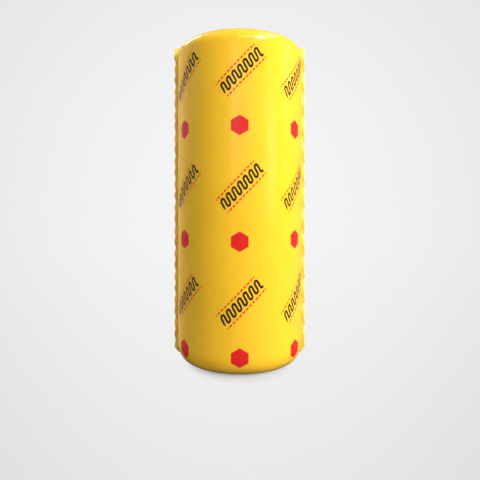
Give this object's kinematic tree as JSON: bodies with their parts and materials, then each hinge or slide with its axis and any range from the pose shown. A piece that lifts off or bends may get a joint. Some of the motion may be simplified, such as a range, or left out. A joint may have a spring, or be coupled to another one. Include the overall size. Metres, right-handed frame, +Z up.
{
  "type": "insulation roll",
  "caption": "Roll of glasswool insulation blanket standing on its end, sealed in a glossy yellow film bag with rounded shoulders and rippled side seams.",
  "frame": {"origin": "centre of the flat base that the roll stands on", "axes": "+Z up along the roll's axis, +X and -X through the two side seams, +Y away from the camera of the picture"},
  "size_m": [0.496, 0.4699, 1.2],
  "materials": {
    "film": "glossy printed polyethylene film",
    "glasswool": "matted yellow glass fibre"
  },
  "bodies": {
    "root": {"film_bag": "film", "blanket_roll": "glasswool"}
  },
  "joints": []
}
